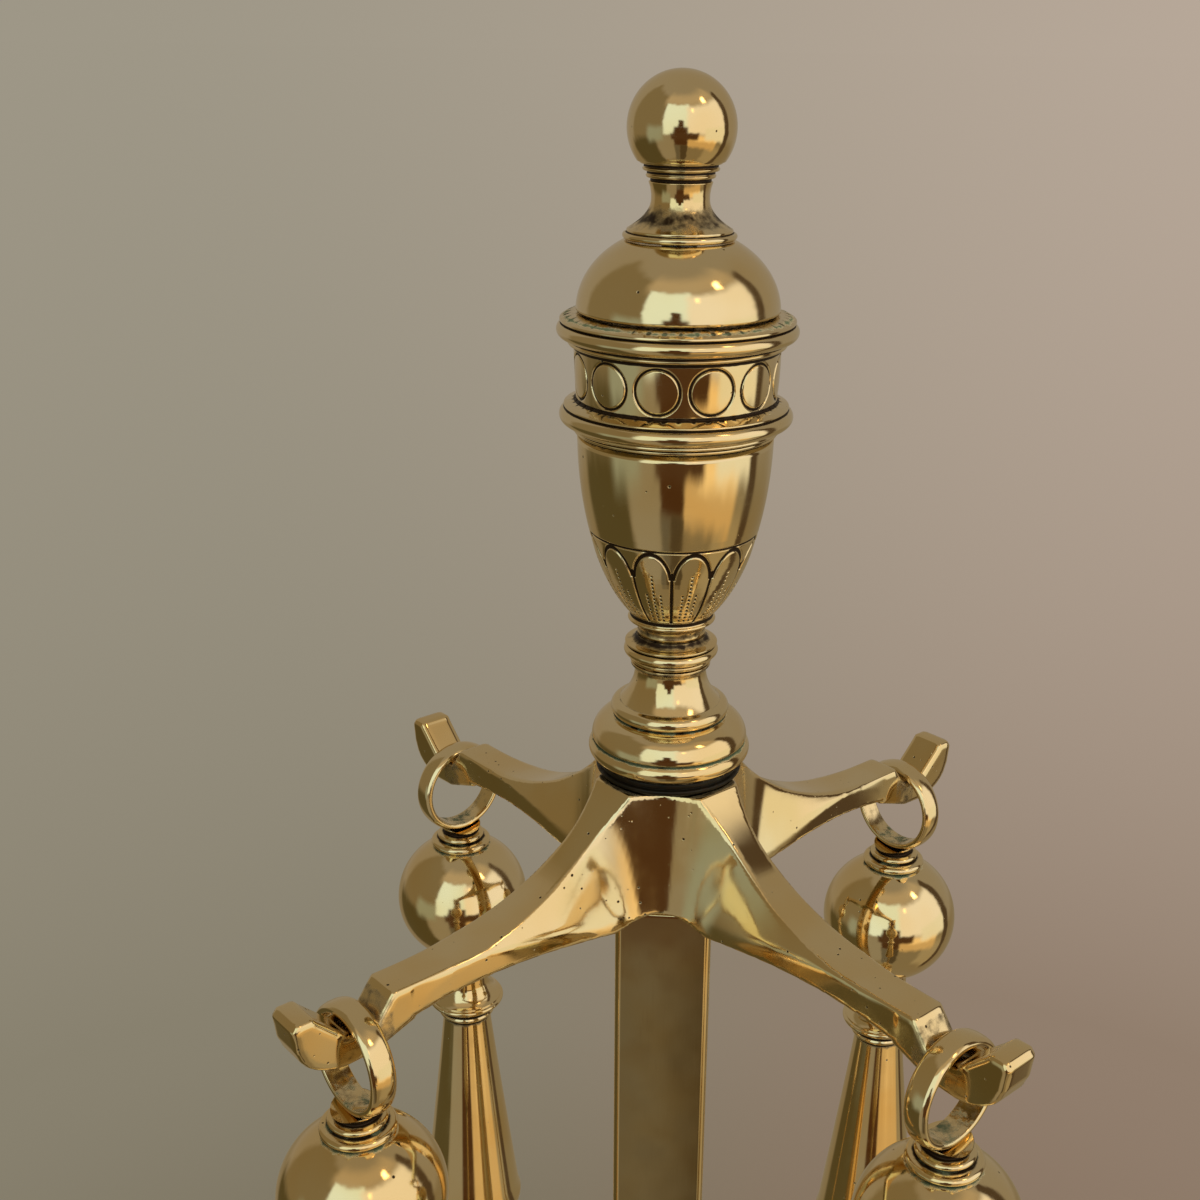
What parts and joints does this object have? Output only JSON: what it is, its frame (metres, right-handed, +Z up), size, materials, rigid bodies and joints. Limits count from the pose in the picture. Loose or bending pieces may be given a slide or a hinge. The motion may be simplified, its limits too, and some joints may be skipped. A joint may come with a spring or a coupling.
{
  "type": "fireplace tool set",
  "caption": "Brass companion set: square column on a stepped base, urn finial, four hook arms that carry a poker, shovel, brush and tongs by loops over ball and cone handles.",
  "frame": {"origin": "on the floor, under the column's axis", "axes": "+Z up; the column's faces look along X and Y, and the four arms lie on the diagonals over the base's corners"},
  "size_m": [0.226, 0.226, 0.7212],
  "materials": {
    "polished_brass": "polished cast and turned brass, tarnish in the grooves",
    "aged_brass": "dark tarnished brass",
    "plain_steel": "turned mild steel",
    "beech": "oiled beech",
    "bristle": "dark natural bristle"
  },
  "bodies": {
    "stand": {"foot_front_left": "polished_brass", "foot_front_right": "polished_brass", "foot_rear_left": "polished_brass", "foot_rear_right": "polished_brass", "base_plate": "polished_brass", "base_step": "polished_brass", "base_rise": "polished_brass", "column_collar": "polished_brass", "column": "polished_brass", "tie_rod": "plain_steel", "tie_rod_washer": "plain_steel", "tie_rod_nut": "plain_steel", "hook_spider": "polished_brass", "hub_shim": "aged_brass", "pedestal": "polished_brass", "neck_knop": "polished_brass", "urn_body": "polished_brass", "urn_frieze": "polished_brass", "urn_lid": "polished_brass", "finial": "polished_brass"},
    "poker_hanger": {"poker_loop": "polished_brass"},
    "poker": {"poker_neck": "polished_brass", "poker_ball": "polished_brass", "poker_handle": "polished_brass", "poker_ferrule": "polished_brass", "poker_shaft": "polished_brass", "poker_point": "polished_brass"},
    "shovel_hanger": {"shovel_loop": "polished_brass"},
    "shovel": {"shovel_neck": "polished_brass", "shovel_ball": "polished_brass", "shovel_handle": "polished_brass", "shovel_ferrule": "polished_brass", "shovel_shaft": "polished_brass", "shovel_socket": "polished_brass", "shovel_pan": "polished_brass"},
    "brush_hanger": {"brush_loop": "polished_brass"},
    "brush": {"brush_neck": "polished_brass", "brush_ball": "polished_brass", "brush_handle": "polished_brass", "brush_ferrule": "polished_brass", "brush_shaft": "polished_brass", "brush_cap": "polished_brass", "brush_block": "beech", "brush_bristles": "bristle"},
    "tongs_hanger": {"tongs_loop": "polished_brass"},
    "tongs": {"tongs_neck": "polished_brass", "tongs_ball": "polished_brass", "tongs_handle": "polished_brass", "tongs_ferrule": "polished_brass", "tongs_shaft": "polished_brass", "tongs_yoke": "polished_brass", "tongs_pin": "plain_steel"},
    "tongs_left": {"tongs_leg_left": "polished_brass"},
    "tongs_right": {"tongs_leg_right": "polished_brass"}
  },
  "joints": [
    {"name": "poker_lift_off", "type": "slide", "parent": "stand", "child": "poker_hanger", "axis": [-0.5, -0.5, 0.7071], "range_m": [0, 0.045]},
    {"name": "poker_swing", "type": "hinge", "parent": "poker_hanger", "child": "poker", "pos_m": [-0.06771, -0.06771, 0.50933], "axis": [-0.7071, -0.7071, 0], "range_deg": [-6, 6]},
    {"name": "shovel_lift_off", "type": "slide", "parent": "stand", "child": "shovel_hanger", "axis": [0.5, -0.5, 0.7071], "range_m": [0, 0.045]},
    {"name": "shovel_swing", "type": "hinge", "parent": "shovel_hanger", "child": "shovel", "pos_m": [0.06771, -0.06771, 0.50933], "axis": [0.7071, -0.7071, 0], "range_deg": [-6, 6]},
    {"name": "brush_lift_off", "type": "slide", "parent": "stand", "child": "brush_hanger", "axis": [0.5, 0.5, 0.7071], "range_m": [0, 0.045]},
    {"name": "brush_swing", "type": "hinge", "parent": "brush_hanger", "child": "brush", "pos_m": [0.06771, 0.06771, 0.50933], "axis": [0.7071, 0.7071, 0], "range_deg": [-6, 6]},
    {"name": "tongs_lift_off", "type": "slide", "parent": "stand", "child": "tongs_hanger", "axis": [-0.5, 0.5, 0.7071], "range_m": [0, 0.045]},
    {"name": "tongs_swing", "type": "hinge", "parent": "tongs_hanger", "child": "tongs", "pos_m": [-0.06771, 0.06771, 0.50933], "axis": [-0.7071, 0.7071, 0], "range_deg": [-6, 6]},
    {"name": "tongs_grip", "type": "hinge", "parent": "tongs", "child": "tongs_left", "pos_m": [-0.06771, 0.06771, 0.247], "axis": [-0.7071, 0.7071, 0], "range_deg": [-3.3, 9]},
    {"name": "tongs_grip_right", "type": "hinge", "parent": "tongs", "child": "tongs_right", "pos_m": [-0.06771, 0.06771, 0.247], "axis": [-0.7071, 0.7071, 0], "range_deg": [-9, 3.3]}
  ],
  "couplings": [
    {"joint": "tongs_grip_right", "follows": "tongs_grip", "ratio": -1}
  ]
}
